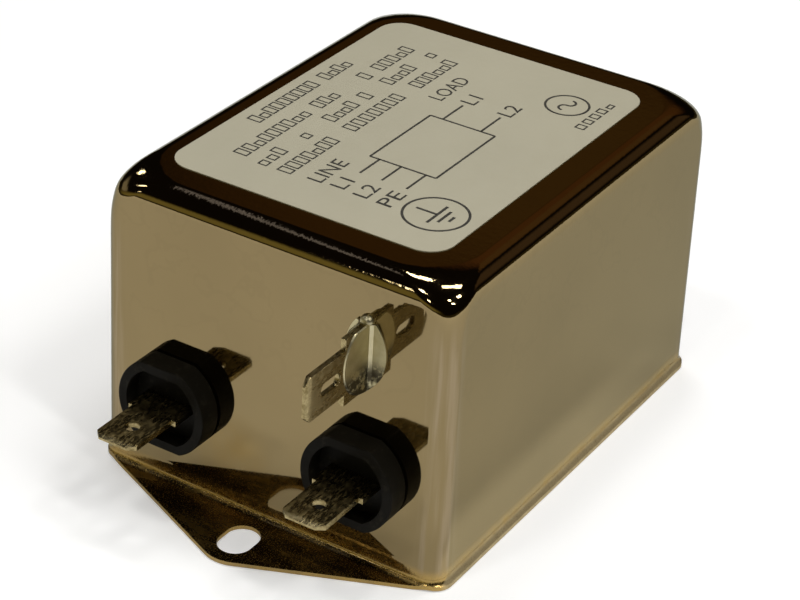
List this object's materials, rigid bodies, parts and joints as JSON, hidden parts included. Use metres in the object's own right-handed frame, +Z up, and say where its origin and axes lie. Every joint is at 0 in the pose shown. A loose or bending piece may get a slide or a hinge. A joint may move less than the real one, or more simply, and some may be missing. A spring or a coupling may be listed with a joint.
{
  "type": "emi line filter",
  "caption": "Potted power-line interference filter in a plated metal can with an eared mounting flange, quick-connect tabs in black bushings at both ends and a separate ground tab.",
  "frame": {"origin": "centre of the underside, in the plane of the flange", "axes": "+X along the can from the line end to the load end, +Y towards the side of terminal L1, +Z up out of the label"},
  "size_m": [0.0958, 0.0544, 0.0437],
  "materials": {
    "nickel_can": "nickel-plated sheet, bright and slightly warm",
    "base_steel": "plain plated sheet",
    "label_film": "matt metallised film",
    "print": "black print",
    "black_nylon": "moulded, matt",
    "tinned_tab": "tinned steel strip",
    "solder": "solder, satin",
    "ferrite": "coated ferrite",
    "enamelled_wire": "enamelled copper wire",
    "fibre": "fibre sheet",
    "film_case": "moulded case",
    "disc_coat": "dipped coating",
    "resistor_coat": "lacquer",
    "earth_wire": "insulated wire",
    "compound": "cast potting compound"
  },
  "bodies": {
    "root": {"can": "nickel_can", "base_plate": "base_steel", "label": "label_film", "label_print": "print", "bushing_line_1": "black_nylon", "bushing_line_2": "black_nylon", "bushing_load_1": "black_nylon", "bushing_load_2": "black_nylon", "tab_line_1": "tinned_tab", "tab_line_2": "tinned_tab", "tab_load_1": "tinned_tab", "tab_load_2": "tinned_tab", "tab_ground": "tinned_tab", "solder_ground": "solder", "choke_core": "ferrite", "choke_divider": "fibre", "winding_1": "enamelled_wire", "winding_2": "enamelled_wire", "x_capacitor": "film_case", "y_capacitor_1": "disc_coat", "y_capacitor_2": "disc_coat", "bleed_resistor": "resistor_coat", "lead_line_1": "enamelled_wire", "lead_line_2": "enamelled_wire", "lead_load_1": "enamelled_wire", "lead_load_2": "enamelled_wire", "lead_ground": "earth_wire", "liner": "fibre", "potting": "compound"}
  },
  "joints": []
}
